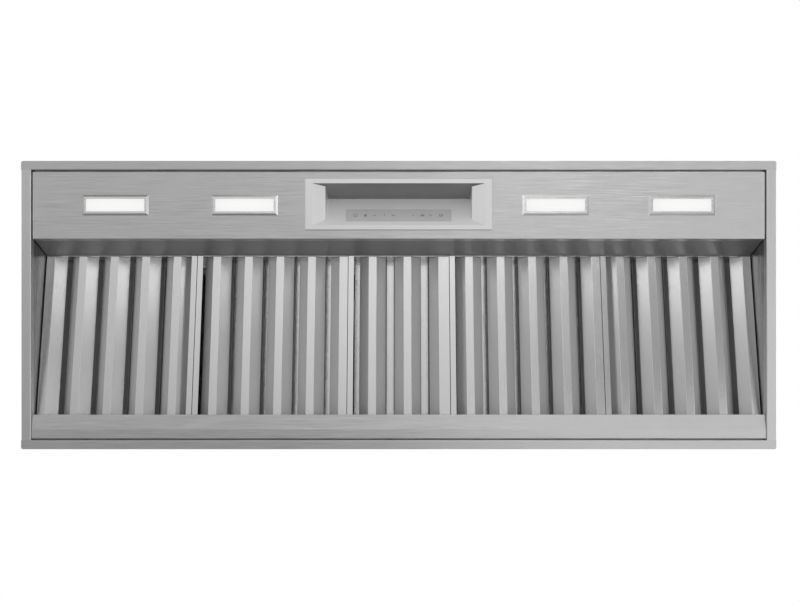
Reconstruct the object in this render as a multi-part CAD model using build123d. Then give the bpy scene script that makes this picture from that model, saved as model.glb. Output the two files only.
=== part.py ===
from build123d import *
import os
from math import atan2, cos, degrees, floor, radians, sin, sqrt

# Range hood insert, in millimetres, in its working position.
# +Z is up, the cook stands on the -Y side, and +X is to that person's right.
# The origin is the centre of the flange's lower face, which is the plane z = 0.

# ---------------------------------------------------------------- flange and shell
flange_width = 1480.0  # along X, over the side rails
flange_depth = 565.0  # along Y, over the front and rear rails
side_rail_face = 19.0  # width of the left and right rails
end_rail_face = 17.8  # width of the front and rear rails
rail_sheet = 1.5
rail_edge = 6.0  # height of the rails' outer return
rail_leg = 12.0  # height of the rails' inner leg
rail_corner = 4.0  # radius of the flange's outer corners
shell_sheet = 1.2
panel_gap = 2.4  # shadow gap between a rail and the panel inside it
bend = 0.6  # inner radius of a folded edge
fit_gap = 0.2  # between a loose piece and the sheet beside it
top_skirt = 20.0  # how far the top panel laps down over the shell

# ---------------------------------------------------------------- fascia and liner wall
fascia_recess = 3.2  # fascia's lower face above the flange's
fascia_depth = 132.6
fascia_return = 13.8  # height of the fascia's rear return
fascia_return_lean = 2.8
wall_lap = 9.0  # the liner wall laps the fascia's return by this
wall_lean = 24.9  # the liner wall leans back this far
wall_bend_height = 71.0  # height of the bend over the filters' front ends
wall_side_gap = 1.9

# ---------------------------------------------------------------- drip tray
tray_lip_height = 7.0  # top of the tray's front lip
tray_floor = 2.0
tray_depth = 46.8  # from the lip to the tray's rear edge
tray_slope_run = 28.5  # length of the slanted front part
tray_end_gap = 0.6
tray_end_height = 9.0

# ---------------------------------------------------------------- grease filters
narrow_width = 205.5  # the middle filter, the four others share what is left
filter_gap = 1.3
filter_end_gap = 0.8
filter_thickness = 50.0
filter_rear_height = 23.6  # filters' lower face over the tray's lip
filter_frame_sheet = 1.0
filter_side_flange = 11.0
baffle_sheet = 1.0
baffle_rise = 17.0
baffle_face = 15.6
baffle_slope = 18.6  # width of a slat's slanting side, seen square to the filter
wide_first_face, wide_pitch = 40.0, 64.6
narrow_first_face, narrow_pitch = 49.6, 71.1
swing_clearance = 1.0  # between a swinging filter and the liner wall's bend
left_handed_filter = 1  # the leftmost filter is the other wide ones' mirror image

# ---------------------------------------------------------------- filter hinges and catches
rod_radius = 3.0
rod_setback = 18.5  # rod's centre behind the tray's lip
rod_rise = 6.0  # rod's centre above the filters' lower face
hook_reach = 9.5  # rod's centre behind a filter's rear end
hook_clearance = 0.25
hook_sheet = 1.5
hook_width = 20.0
hook_inset = 45.0
ear_sheet = 1.5
ear_radius = 6.0
ear_fit = 0.05
ear_foot = 16.0
ear_end_inset = 5.0
magnet_length, magnet_width, magnet_height = 36.0, 12.0, 6.0
magnet_gap = 0.3
magnet_inset = 60.0
stop_rail_flange = 38.0
stop_rail_leg = 22.0

# ---------------------------------------------------------------- lights
light_length, light_width = 130.5, 40.6  # over the bezel
light_proud = 2.7
light_bevel = 4.0
light_border = 8.0
light_end_inset = 162.6  # outer light's centre from the fascia's end
left_light_gap, right_light_gap = 53.3, 59.1  # from the inner lights' bezels to the control's frame
light_front_inset = 66.3  # lights' centre behind the fascia's front edge
sleeve_sheet = 1.5
sleeve_depth = 5.0
lens_gap = 0.2
lens_recess = 0.8
lens_flange = 2.0
lens_flange_margin = 3.0
lamp_height = 30.0
lamp_sheet = 1.2
lamp_foot = 8.0
led_board_sheet = 1.6
led_board_margin = 8.0

# ---------------------------------------------------------------- control pocket
control_length, control_width = 367.6, 101.0  # over the frame
control_front_inset = 64.7  # frame's centre behind the fascia's front edge
control_proud = 2.2
control_border_front, control_border_rear = 9.2, 9.6
control_border_side = 13.8
pocket_height = 44.0  # frame's face to the pocket's deepest line
pocket_front_lean = 24.8  # the deepest line behind the opening's front edge
pocket_flare = 25.4  # width of the shallow slope at each end
pocket_flare_rise = 9.0
pocket_draft = 2.3  # the end walls lean in by this
pocket_wall = 2.0
strip_length, strip_width, strip_sheet = 208.5, 32.0, 1.0
strip_from_rear = 25.9  # strip's centre from the sloping face's rear edge
module_length, module_width, module_height = 230.0, 44.0, 18.0
driver_length, driver_width, driver_height = 160.0, 30.0, 50.0
driver_end_inset, driver_drop = 402.5, 60.0  # from the left panel, and below the top panel

# ---------------------------------------------------------------- blower
wheel_radius, wheel_inner, wheel_length = 62.0, 50.0, 190.0
wheel_sheet = 2.0
blade_count = 36
blade_sheet = 1.0
blade_sweep = 12.0  # degrees a blade leans forward
hub_radius, hub_length = 12.0, 30.0
scroll_width = 214.0
scroll_start, scroll_step = 72.0, 14.0  # first radius of the scroll, and what each quarter adds
cutoff_angle = 65.0
throat_rise = 35.0
scroll_flange = 12.0
blower_over_filters = 14.0
blower_y = 7.8
motor_radius, motor_length = 38.0, 98.0
motor_clearance = 18.0  # from the motor's inner end to the wheel's middle
motor_arm_width, motor_arm_sheet = 12.0, 2.0
motor_band = 12.0
motor_overhang = 5.0
shaft_radius, shaft_fit = 4.0, 0.05
arm_seat = 12.0

# ---------------------------------------------------------------- duct collar and damper
collar_radius, collar_height = 127.0, 50.0
collar_flange = 20.0
collar_root = 1.5  # fillet between the collar and its flange
damper_height = 27.0
damper_pin_radius, damper_fit = 2.0, 0.05
damper_knuckle = 3.0
damper_pin_offset = 5.0
flap_sheet = 0.8
flap_clearance = 3.0
stop_ring_width, stop_ring_height = 5.5, 2.0
stop_ring_gap = 0.3
pin_recess = 0.4  # the pins end inside the collar's outer face
centre_bar = 3.0
knuckle_end_gap = 12.0

# ---------------------------------------------------------------- mains inlet and mountings
box_length, box_width, box_height = 120.0, 80.0, 42.0
box_end_inset, box_rear_inset = 202.5, 96.2  # its centre from the left and rear panels
box_sheet = 1.2
gland_bore, gland_radius, gland_nut = 4.5, 8.0, 11.0
gland_inside, gland_outside = 6.0, 22.0
gland_nut_length = 6.0
wire_hole_radius = 10.0
mount_hole_radius = 2.75
mount_spacing_y, mount_spacing_z = 360.0, 60.0
mount_drop = 105.0  # mounting holes' centre below the top
screw_radius, screw_head_radius, screw_head, screw_length = 2.0, 3.75, 2.4, 8.0
screw_fit = 0.15
screw_pitch = 230.0
screw_drop = 10.0

# ---------------------------------------------------------------- worked out from the sizes above
inner_x = flange_width / 2 - side_rail_face  # inner edge of the side rails
inner_y = flange_depth / 2 - end_rail_face  # inner edge of the front and rear rails
shell_x = inner_x + rail_sheet  # inner face of the side panels
shell_y = inner_y + rail_sheet  # inner face of the front and rear panels
panel_foot = rail_sheet + bend  # the panels stand just clear of the rails' folds
box_x, box_y = -(shell_x - box_end_inset), shell_y - box_rear_inset
driver_x = -(shell_x - driver_end_inset)

fascia_x = inner_x - panel_gap
fascia_front = -inner_y + panel_gap
fascia_rear = fascia_front + fascia_depth
fascia_top = fascia_recess + shell_sheet
return_top = fascia_recess + fascia_return
return_lean = atan2(fascia_return_lean, fascia_return)
wall_bend_y = fascia_rear + fascia_return_lean + wall_lean

tray_rear = inner_y - panel_gap
lip_y = tray_rear - tray_depth
lip_underside = tray_lip_height - shell_sheet

# The filters lie in one sloping plane, from just under the wall's bend to above the tray's lip.
filter_front_height = wall_bend_height - magnet_gap
tilt = atan2(filter_front_height - filter_rear_height, lip_y - wall_bend_y)
rod_y = lip_y + rod_setback
rod_z = filter_rear_height + (wall_bend_y - rod_y + lip_y - wall_bend_y) * sin(tilt) / cos(tilt)
rod_z += rod_rise / cos(tilt)
# In the filters' own frame the rod is the origin, v runs up the slope backwards and w is square to it.
bend_v = (wall_bend_y - rod_y) * cos(tilt) - (wall_bend_height - rod_z) * sin(tilt)
bend_w = (wall_bend_y - rod_y) * sin(tilt) + (wall_bend_height - rod_z) * cos(tilt)
swing_radius = sqrt(bend_v**2 + bend_w**2) - swing_clearance
face_w = -rod_rise
top_w = filter_thickness - rod_rise
front_v = -sqrt(swing_radius**2 - top_w**2)  # upper edge of a filter's slanting front plate
foot_v = -sqrt(swing_radius**2 - face_w**2)  # the same plate's lower edge, further forward
front_slant = (front_v - foot_v) / filter_thickness
rear_v = -hook_reach
filter_width = (
    2 * (inner_x - filter_end_gap) - narrow_width - 4 * filter_gap
) / 4

filter_top_here = rod_z + (rod_y - blower_y) * sin(tilt) / cos(tilt) + top_w / cos(tilt)
scroll_bottom = scroll_start + scroll_step + shell_sheet
blower_z = filter_top_here + blower_over_filters + scroll_bottom
throat_front = scroll_start * cos(radians(cutoff_angle))
throat_rear = scroll_start + 3 * scroll_step
throat_top = scroll_start * sin(radians(cutoff_angle)) + throat_rise
shell_top = blower_z + throat_top  # underside of the top panel
body_height = shell_top + shell_sheet
collar_y = blower_y + (throat_front + throat_rear) / 2


def block(x0, x1, y0, y1, z0, z1):
    """A box from its low and high corners."""
    centre = ((x0 + x1) / 2, (y0 + y1) / 2, (z0 + z1) / 2)
    return Pos(*centre) * Box(x1 - x0, y1 - y0, z1 - z0)


def folded(points, sheet):
    """The cut face of a sheet folded along points, with its thickness on the left of the line."""
    steps = [(b[0] - a[0], b[1] - a[1]) for a, b in zip(points, points[1:])]
    units = [(u / sqrt(u * u + v * v), v / sqrt(u * u + v * v)) for u, v in steps]
    lefts = [(-v, u) for u, v in units]
    far, near_radii, far_radii = [], [], []
    for i, (x, y) in enumerate(points):
        before, after = lefts[max(i - 1, 0)], lefts[min(i, len(lefts) - 1)]
        scale = sheet / (1 + before[0] * after[0] + before[1] * after[1])
        far.append((x + scale * (before[0] + after[0]), y + scale * (before[1] + after[1])))
        if 0 < i < len(points) - 1:
            turn = units[i - 1][0] * units[i][1] - units[i - 1][1] * units[i][0]
            near_radii.append(bend + sheet if turn > 0 else bend)
            far_radii.append(bend if turn > 0 else bend + sheet)
    if near_radii:
        near_side = FilletPolyline(*points, radius=near_radii)
        far_side = FilletPolyline(*far, radius=far_radii)
    else:
        near_side, far_side = Line(*points), Line(*far)
    return make_face(near_side + far_side + Line(points[0], far[0]) + Line(points[-1], far[-1]))


def along_x(face, x0, x1):
    """A solid of the face, drawn in Y and Z, between two places along X."""
    return extrude(Plane(origin=(x0, 0, 0), x_dir=(0, 1, 0), z_dir=(1, 0, 0)) * face, x1 - x0)


def along_y(face, y0, y1):
    """A solid of the face, drawn in X and Z, between two places along Y."""
    return extrude(Plane(origin=(0, y1, 0), x_dir=(1, 0, 0), z_dir=(0, -1, 0)) * face, y1 - y0)


def rod(radius, start, direction, length):
    """A round bar from a point along an axis."""
    return extrude(Plane(origin=start, z_dir=direction) * Circle(radius), length)


def save(node, shape):
    """One file for each piece of the hood, named after it."""
    solids = shape.solids()
    export_step(solids[0] if len(solids) == 1 else Compound(children=solids), f"parts/{node}.step")


# ---------------------------------------------------------------- the flange and the shell
def end_rail(side):
    """Front (side -1) or rear (side 1) rail: it runs the full width, corners included."""
    outer, inner = flange_depth / 2, inner_y
    middle = side * (outer + inner) / 2
    plate = Pos(0, middle) * Rectangle(flange_width, outer - inner)
    outside_corners = plate.vertices().filter_by(lambda v: abs(v.Y) > inner + 1)
    rail = extrude(fillet(outside_corners, rail_corner), rail_edge)
    hollow = Pos(0, middle - side * rail_sheet / 2, rail_sheet) * Rectangle(
        flange_width - 2 * rail_sheet, outer - inner - rail_sheet
    )
    inside_corners = hollow.vertices().filter_by(lambda v: abs(v.Y) > inner + 1)
    rail -= extrude(fillet(inside_corners, rail_corner - rail_sheet), rail_edge)
    near, far = sorted((side * inner, side * (inner + rail_sheet)))
    rail += block(-inner_x, inner_x, near, far, 0, rail_leg)
    radius = bend + rail_sheet
    crease = side * (inner + radius)
    near, far = sorted((side * (inner - 1), crease))
    sharp = block(-inner_x, inner_x, near, far, -1, radius)
    return rail - (sharp - rod(radius, (-inner_x, crease, radius), (1, 0, 0), 2 * inner_x))


def side_rail(side):
    """Left or right rail, which butts between the front and rear rails."""
    profile = [
        (side * flange_width / 2, rail_edge),
        (side * flange_width / 2, 0),
        (side * inner_x, 0),
        (side * inner_x, rail_leg),
    ]
    if side > 0:
        profile.reverse()
    rail = along_y(folded(profile, rail_sheet), -inner_y, inner_y)
    near, far = sorted((side * inner_x, side * shell_x))
    for end in (-1, 1):
        low, high = sorted((end * inner_y, end * shell_y))
        rail += block(near, far, low, high, rail_sheet, rail_leg)
    return rail


def screw_places():
    """Where the screws go through the top panel's skirt: (position, outward direction)."""
    height = body_height - screw_drop
    places = []
    for reach, face, pair in ((shell_x, shell_y, "y"), (shell_y, shell_x, "x")):
        count = max(2, floor(2 * reach / screw_pitch))
        for i in range(count):
            step = -reach + (i + 0.5) * 2 * reach / count
            for side in (-1, 1):
                out = side * (face + 2 * shell_sheet)
                if pair == "y":
                    places.append(((step, out, height), (0, side, 0)))
                else:
                    places.append(((out, step, height), (side, 0, 0)))
    return places


def screw_holes():
    """Cutters for all the screws' clearance holes."""
    holes = []
    for start, out in screw_places():
        inward = tuple(-c for c in out)
        holes.append(rod(screw_radius + screw_fit, start, inward, screw_length))
    return holes


def panel_screws():
    solids = []
    for start, out in screw_places():
        inward = tuple(-c for c in out)
        head = rod(screw_head_radius, start, out, screw_head)
        head = fillet(head.edges().group_by(Axis(start, out))[-1], screw_head * 0.4)
        solids.append(head + rod(screw_radius, start, inward, screw_length))
    return Compound(children=[s.solid() for s in solids])


def end_panel(side):
    """Front or rear wall of the shell, which stands on its rail."""
    near, far = sorted((side * shell_y, side * (shell_y + shell_sheet)))
    reach = shell_x + shell_sheet
    return block(-reach, reach, near, far, panel_foot, shell_top) - screw_holes()


def side_panel(side):
    """Left or right wall of the shell, with four holes for fastening the insert."""
    near, far = sorted((side * shell_x, side * (shell_x + shell_sheet)))
    panel = block(near, far, -shell_y, shell_y, panel_foot, shell_top)
    for y in (-mount_spacing_y / 2, mount_spacing_y / 2):
        for z in (-mount_spacing_z / 2, mount_spacing_z / 2):
            start = (near - 1, y, body_height - mount_drop + z)
            panel -= rod(mount_hole_radius, start, (1, 0, 0), shell_sheet + 2)
    return panel - screw_holes()


def throat_opening(z0, z1):
    half = scroll_width / 2
    return block(-half, half, blower_y + throat_front, blower_y + throat_rear, z0, z1)


def top_panel():
    """Lid of the shell, with a skirt that laps over the walls."""
    out_x, out_y = shell_x + shell_sheet, shell_y + shell_sheet
    skirt = body_height - top_skirt
    over_x, over_y = out_x + shell_sheet, out_y + shell_sheet
    panel = block(-over_x, over_x, -over_y, over_y, skirt, body_height)
    panel -= block(-out_x, out_x, -out_y, out_y, skirt, shell_top)
    panel -= throat_opening(shell_top - 1, body_height + 1)
    panel -= rod(wire_hole_radius, (box_x, box_y, shell_top - 1), (0, 0, 1), shell_sheet + 2)
    return panel - screw_holes()


# ---------------------------------------------------------------- the panels seen from below
def light_places():
    """Centres of the four lights along X, from left to right."""
    outer = fascia_x - light_end_inset
    inner = (control_length + light_length) / 2
    return [-outer, -inner - left_light_gap, inner + right_light_gap, outer]


light_y = fascia_front + light_front_inset
control_y = fascia_front + control_front_inset
opening_x = control_length / 2 - control_border_side
opening_front = control_y - control_width / 2 + control_border_front
opening_rear = control_y + control_width / 2 - control_border_rear
control_face = fascia_recess - control_proud
pocket_top = control_face + pocket_height
pocket_line_y = opening_front + pocket_front_lean
slope = atan2(pocket_height, opening_rear - pocket_line_y)
sleeve_x = light_length / 2 - light_border + sleeve_sheet
sleeve_y = light_width / 2 - light_border + sleeve_sheet
sleeve_top = fascia_top + sleeve_depth


def fascia_panel():
    """The light and control panel, a pan whose lip hangs on the rails' legs."""
    profile = [
        (-shell_y + fit_gap, rail_leg),
        (fascia_front, rail_leg),
        (fascia_front, fascia_recess),
        (fascia_rear, fascia_recess),
        (fascia_rear + fascia_return_lean, return_top),
    ]
    panel = along_x(folded(profile, shell_sheet), -fascia_x, fascia_x)
    front, rear = fascia_front + bend + shell_sheet, fascia_rear - wall_lap
    for side in (-1, 1):
        inner, outer, tip = side * (fascia_x - shell_sheet), side * fascia_x, side * (shell_x - fit_gap)
        near, far = sorted((inner, outer))
        panel += block(near, far, front, rear, fascia_recess + shell_sheet / 2, rail_leg + shell_sheet)
        near, far = sorted((inner, tip))
        panel += block(near, far, front, rear, rail_leg, rail_leg + shell_sheet)
    for x in light_places():
        cut_x, cut_y = sleeve_x + fit_gap, sleeve_y + fit_gap
        panel -= block(x - cut_x, x + cut_x, light_y - cut_y, light_y + cut_y, 0, rail_leg)
    margin = pocket_wall + fit_gap
    cut = opening_x + margin
    panel -= block(-cut, cut, opening_front - margin, opening_rear + margin, 0, rail_leg)
    return panel


def front_liner_wall():
    """The wall that leans back above the fascia, then stands up to the top panel."""
    behind = shell_sheet + fit_gap
    low = (fascia_rear + fascia_return_lean - behind, return_top)
    foot_z = return_top - wall_lap
    foot_y = low[0] - wall_lap * sin(return_lean) / cos(return_lean)
    profile = [(foot_y, foot_z), low, (wall_bend_y, wall_bend_height), (wall_bend_y, shell_top)]
    reach = shell_x - wall_side_gap
    wall = along_x(folded(profile, shell_sheet), -reach, reach)
    front = wall_bend_y - shell_sheet
    for side in (-1, 1):
        near, far = sorted((side * reach, side * shell_x))
        wall += block(near, far, front, wall_bend_y, wall_bend_height, shell_top)
    return wall


def drip_tray():
    """The trough under the filters' rear ends, hung on the rear rail's leg."""
    profile = [
        (lip_y, lip_underside),
        (lip_y + tray_slope_run, tray_floor),
        (tray_rear, tray_floor),
        (tray_rear, rail_leg),
        (shell_y - fit_gap, rail_leg),
    ]
    reach = inner_x - tray_end_gap
    tray = along_x(folded(profile, shell_sheet), -reach, reach)
    inside = tray_floor + shell_sheet
    for side in (-1, 1):
        near, far = sorted((side * reach, side * (reach - shell_sheet)))
        start = lip_y + tray_slope_run
        tray += block(near, far, start, tray_rear, inside - 0.5, inside + tray_end_height)
    return tray


# ---------------------------------------------------------------- the filters
def on_slope(shape):
    """Puts a shape drawn about the hinge rod, in the filters' own frame, in its place."""
    return Pos(0, rod_y, rod_z) * Rot(-degrees(tilt), 0, 0) * shape


def filter_places():
    """Left edge, width, first face and pitch of each filter, from left to right."""
    wide = (filter_width, wide_first_face, wide_pitch)
    narrow = (narrow_width, narrow_first_face, narrow_pitch)
    left = -inner_x + filter_end_gap
    places = []
    for sizes in (wide, wide, narrow, wide, wide):
        places.append((left, *sizes))
        left += sizes[0] + filter_gap
    return places


def other_hand(shape, middle):
    """The same piece made the other way round, left for right, about a place along X."""
    return Pos(2 * middle, 0, 0) * mirror(shape, about=Plane.YZ)


def front_at(w):
    """Place of the filters' slanting front plane at a height in their own frame."""
    return foot_v + front_slant * (w - face_w)


def filter_web(x0, x1, low):
    """A side channel's web, with its front edge on the slanting plane."""
    outline = [(front_at(low), low), (rear_v, low), (rear_v, top_w), (front_v, top_w)]
    return along_x(make_face(Polyline(*outline, close=True)), x0, x1)


def filter_frame(left, width):
    """Welded frame: side channels, a slanting front plate, a rear plate and two hooks for the rod."""
    t, low, high = filter_frame_sheet, face_w, top_w
    right = left + width
    front_plate = [(foot_v, low), (foot_v + t, low), (front_v + t, high), (front_v, high)]
    frame = along_x(make_face(Polyline(*front_plate, close=True)), left, right)
    frame += block(left, right, rear_v - t, rear_v, low, high)
    frame += filter_web(left, left + t, low)
    frame += block(left, left + filter_side_flange, foot_v + t / 2, rear_v, low, low + t)
    frame += filter_web(right - t, right, low + baffle_sheet)
    frame += block(right - filter_side_flange, right, front_v, rear_v, high - t, high)
    frame += block(left, right, front_v, front_v + magnet_width + t, high - t, high)
    inner = rod_radius + hook_clearance
    outer = inner + hook_sheet
    for middle in (left + hook_inset, right - hook_inset):
        near, far = middle - hook_width / 2, middle + hook_width / 2
        hook = block(near, far, rear_v, 0, 0, outer) + rod(outer, (near, 0, 0), (1, 0, 0), hook_width)
        hook -= rod(inner, (near, 0, 0), (1, 0, 0), hook_width)
        hook -= block(near, far, -inner, outer, -outer, 0)
        frame += hook
    return frame


def baffle(points, front, rear):
    """One folded slat, from the filter's front end plate to its rear one."""
    return along_y(folded(points, baffle_sheet), front, rear)


def filter_slats(left, width, first, pitch, upper):
    """The lower slats face down; the upper ones are turned over above the gaps between them."""
    right = left + width
    rear = rear_v - filter_frame_sheet
    half_face, half_width = baffle_face / 2, baffle_face / 2 + baffle_slope
    slats = []
    if upper:
        base, tip = top_w - filter_frame_sheet, top_w - filter_frame_sheet - baffle_rise
        front = front_v + filter_frame_sheet
        centre = left + first - pitch / 2
        inside = left + filter_side_flange
        while centre + half_width < right - filter_frame_sheet:
            points = [(centre + half_width, tip), (centre + half_face, base)]
            if centre - half_width > inside:
                points += [(centre - half_face, base), (centre - half_width, tip)]
            else:
                points += [(inside, base)]
            slats.append(baffle(points, front, rear))
            centre += pitch
    else:
        base, tip = face_w, face_w + baffle_rise
        front = front_at(tip + baffle_sheet) + filter_frame_sheet
        centre = left + first
        while centre + half_face < right + half_face:
            points = [(centre - half_width, tip), (centre - half_face, base)]
            if centre + half_width < right - filter_frame_sheet:
                points += [(centre + half_face, base), (centre + half_width, tip)]
            else:
                points += [(right, base)]
            slats.append(baffle(points, front, rear))
            centre += pitch
    return Compound(children=[s.solid() for s in slats])


def filter_hinge_rod():
    length = 2 * (shell_x - fit_gap)
    return rod(rod_radius, (-length / 2, rod_y, rod_z), (1, 0, 0), length)


def hinge_ears():
    """Ears on the rear wall that carry the rod, one at each seam and one at each end."""
    seams = [left - filter_gap / 2 for left, *_ in filter_places()[1:]]
    end = shell_x - ear_end_inset
    ears = []
    for x in [-end, *seams, end]:
        near, far = x - ear_sheet / 2, x + ear_sheet / 2
        ear = rod(ear_radius, (near, rod_y, rod_z), (1, 0, 0), ear_sheet)
        ear += block(near, far, rod_y, shell_y, rod_z - ear_radius, rod_z + ear_radius)
        foot_low, foot_high = max(x - ear_foot / 2, -shell_x), min(x + ear_foot / 2, shell_x)
        half = ear_foot / 2
        ear += block(foot_low, foot_high, shell_y - ear_sheet, shell_y, rod_z - half, rod_z + half)
        ear -= rod(rod_radius + ear_fit, (near, rod_y, rod_z), (1, 0, 0), ear_sheet)
        ears.append(ear)
    return Compound(children=[e.solid() for e in ears])


def magnet_catches():
    """Magnets that hold up the filters' front ends, two for each filter."""
    low = top_w + magnet_gap
    magnets = []
    for left, width, *_ in filter_places():
        for x in (left + magnet_inset, left + width - magnet_inset):
            near, far = x - magnet_length / 2, x + magnet_length / 2
            magnet = block(near, far, front_v, front_v + magnet_width, low, low + magnet_height)
            magnets.append(on_slope(chamfer(magnet.edges().filter_by(Axis.Z), 1.0)))
    return Compound(children=[m.solid() for m in magnets])


def stop_rail_line(y):
    """Height of the stop rail's sloping underside, which lies on the magnets."""
    level = rod_z + (top_w + magnet_gap + magnet_height) / cos(tilt)
    return level + (rod_y - y) * sin(tilt) / cos(tilt)


def filter_stop_rail():
    """Folded rail over the filters' front ends; it carries the magnets."""
    free_y = wall_bend_y + stop_rail_flange
    fold_z = stop_rail_line(wall_bend_y)
    profile = [(wall_bend_y, fold_z + stop_rail_leg), (wall_bend_y, fold_z)]
    profile.append((free_y, stop_rail_line(free_y)))
    reach = shell_x - wall_side_gap
    return along_x(folded(profile, shell_sheet), -reach, reach)


# ---------------------------------------------------------------- lights
def light_bezel(x):
    """Bevelled frame below the fascia, with a sleeve up through it."""
    face_z = fascia_recess - light_proud
    root = Pos(x, light_y, fascia_recess) * Rectangle(light_length, light_width)
    crest = Pos(x, light_y, face_z) * Rectangle(
        light_length - 2 * light_bevel, light_width - 2 * light_bevel
    )
    bezel = loft([root, crest])
    bezel += block(
        x - sleeve_x, x + sleeve_x, light_y - sleeve_y, light_y + sleeve_y, fascia_recess, sleeve_top
    )
    hole_x, hole_y = sleeve_x - sleeve_sheet, sleeve_y - sleeve_sheet
    return bezel - block(x - hole_x, x + hole_x, light_y - hole_y, light_y + hole_y, 0, sleeve_top)


def light_lens(x):
    """Diffuser: it fills the bezel's opening and is held by a flange behind the sleeve."""
    low = fascia_recess - light_proud + lens_recess
    hx, hy = sleeve_x - sleeve_sheet - lens_gap, sleeve_y - sleeve_sheet - lens_gap
    lens = block(x - hx, x + hx, light_y - hy, light_y + hy, low, sleeve_top)
    fx, fy = sleeve_x + lens_flange_margin, sleeve_y + lens_flange_margin
    flange_top = sleeve_top + lens_flange
    return lens + block(x - fx, x + fx, light_y - fy, light_y + fy, sleeve_top, flange_top)


def lamp_half_sizes():
    inside_x = sleeve_x + lens_flange_margin + fit_gap
    inside_y = sleeve_y + lens_flange_margin + fit_gap
    return inside_x, inside_y


def lamp_box(x):
    """Housing of the lamp, with feet on the fascia's upper face."""
    in_x, in_y = lamp_half_sizes()
    out_x, out_y = in_x + lamp_sheet, in_y + lamp_sheet
    top = fascia_top + lamp_height
    y0, y1 = light_y - out_y, light_y + out_y
    lamp = block(x - out_x, x + out_x, y0, y1, fascia_top, top)
    lamp += block(x - out_x - lamp_foot, x + out_x + lamp_foot, y0, y1, fascia_top, fascia_top + lamp_sheet)
    inside = block(x - in_x, x + in_x, light_y - in_y, light_y + in_y, fascia_top, top - lamp_sheet)
    return lamp - inside


def led_boards():
    boards = []
    top = fascia_top + lamp_height - lamp_sheet
    in_x, in_y = lamp_half_sizes()
    hx, hy = in_x - led_board_margin, in_y - led_board_margin
    for x in light_places():
        board = block(x - hx, x + hx, light_y - hy, light_y + hy, top - led_board_sheet, top)
        boards.append(board)
    return Compound(children=[b.solid() for b in boards])


# ---------------------------------------------------------------- the control pocket
def pocket_space(wall):
    """The pocket's space, grown by a wall: a V trough cut off by the sloping ends."""
    low = control_face - 1 if wall == 0 else fascia_recess
    front, rear = opening_front - wall, opening_rear + wall
    peak = pocket_top + wall
    trough = make_face(
        Polyline((front, low), (front, control_face), (pocket_line_y, peak), (rear, control_face),
                 (rear, low), close=True)
    )
    shallow = opening_x - pocket_flare + wall
    deep = shallow - pocket_draft
    flare_z = control_face + pocket_flare_rise + wall
    edge = opening_x + wall
    ends = make_face(
        Polyline((-edge, low), (-edge, control_face), (-shallow, flare_z), (-deep, peak),
                 (deep, peak), (shallow, flare_z), (edge, control_face), (edge, low), close=True)
    )
    return along_x(trough, -edge, edge) & along_y(ends, front, rear)


def control_pocket():
    """Frame below the fascia and the pocket that reaches up behind it, in one moulding."""
    front, rear = control_y - control_width / 2, control_y + control_width / 2
    half = control_length / 2
    frame = block(-half, half, front, rear, control_face, fascia_recess)
    frame = chamfer(frame.faces().sort_by(Axis.Z)[0].edges(), 1.0)
    return (frame + pocket_space(pocket_wall)) - pocket_space(0)


def on_pocket_slope(shape):
    """Puts a shape drawn on the sloping face, with its origin at that face's rear edge, in place."""
    return Pos(0, opening_rear, control_face) * Rot(-degrees(slope), 0, 0) * shape


def touch_strip():
    low, high = -strip_from_rear - strip_width / 2, -strip_from_rear + strip_width / 2
    half = strip_length / 2
    strip = block(-half, half, low, high, -strip_sheet, 0)
    return on_pocket_slope(fillet(strip.edges().filter_by(Axis.Z), 1.5))


def control_module():
    """The control's electronics, on the back of the sloping face."""
    wall = pocket_wall + fit_gap
    low, high = -strip_from_rear - module_width / 2, -strip_from_rear + module_width / 2
    half = module_length / 2
    box_shape = block(-half, half, low, high, wall, wall + module_height)
    return on_pocket_slope(chamfer(box_shape.edges().filter_by(Axis.Z), 2.0))


def led_driver():
    """The lights' power supply, on the front of the liner wall."""
    back = wall_bend_y - shell_sheet
    top = shell_top - driver_drop
    half = driver_length / 2
    driver = block(driver_x - half, driver_x + half, back - driver_width, back, top - driver_height, top)
    return chamfer(driver.edges().filter_by(Axis.Y), 2.0)


# ---------------------------------------------------------------- the blower
def scroll_outline(grow):
    """The scroll's outline about the wheel's axis: three quarter arcs and an open throat."""
    r1, r2, r3 = (scroll_start + i * scroll_step + grow for i in range(3))
    e = scroll_step
    start_angle = radians(cutoff_angle)
    start = (scroll_start * cos(start_angle) - grow, scroll_start * sin(start_angle))
    join = sqrt(r1**2 - start[0] ** 2)
    middle = radians((180 + cutoff_angle) / 2)
    top = throat_top
    lines = [
        Line((start[0], top), (start[0], join)),
        ThreePointArc((start[0], join), (r1 * cos(middle), r1 * sin(middle)), (-r1, 0)),
    ]
    h = sqrt(0.5)
    lines.append(ThreePointArc((-r1, 0), (e - r2 * h, -r2 * h), (e, -r2)))
    lines.append(ThreePointArc((e, -r2), (e + r3 * h, e - r3 * h), (e + r3, e)))
    lines.append(Line((e + r3, e), (e + r3, top)))
    lines.append(Line((e + r3, top), (start[0], top)))
    return Pos(blower_y, blower_z) * make_face(Curve() + lines)


def blower_scroll():
    """Scroll casing with an inlet on each side, hung from the top panel by its flange."""
    half, t = scroll_width / 2, shell_sheet
    casing = along_x(scroll_outline(t), -half - t, half + t)
    front, rear = blower_y + throat_front, blower_y + throat_rear
    f = scroll_flange
    casing += block(-half - f, half + f, front - f, rear + f, shell_top - t, shell_top)
    casing -= along_x(scroll_outline(0), -half, half)
    casing -= throat_opening(shell_top - t - 1, shell_top + 1)
    return casing - rod(wheel_inner, (-half - t, blower_y, blower_z), (1, 0, 0), scroll_width + 2 * t)


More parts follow.
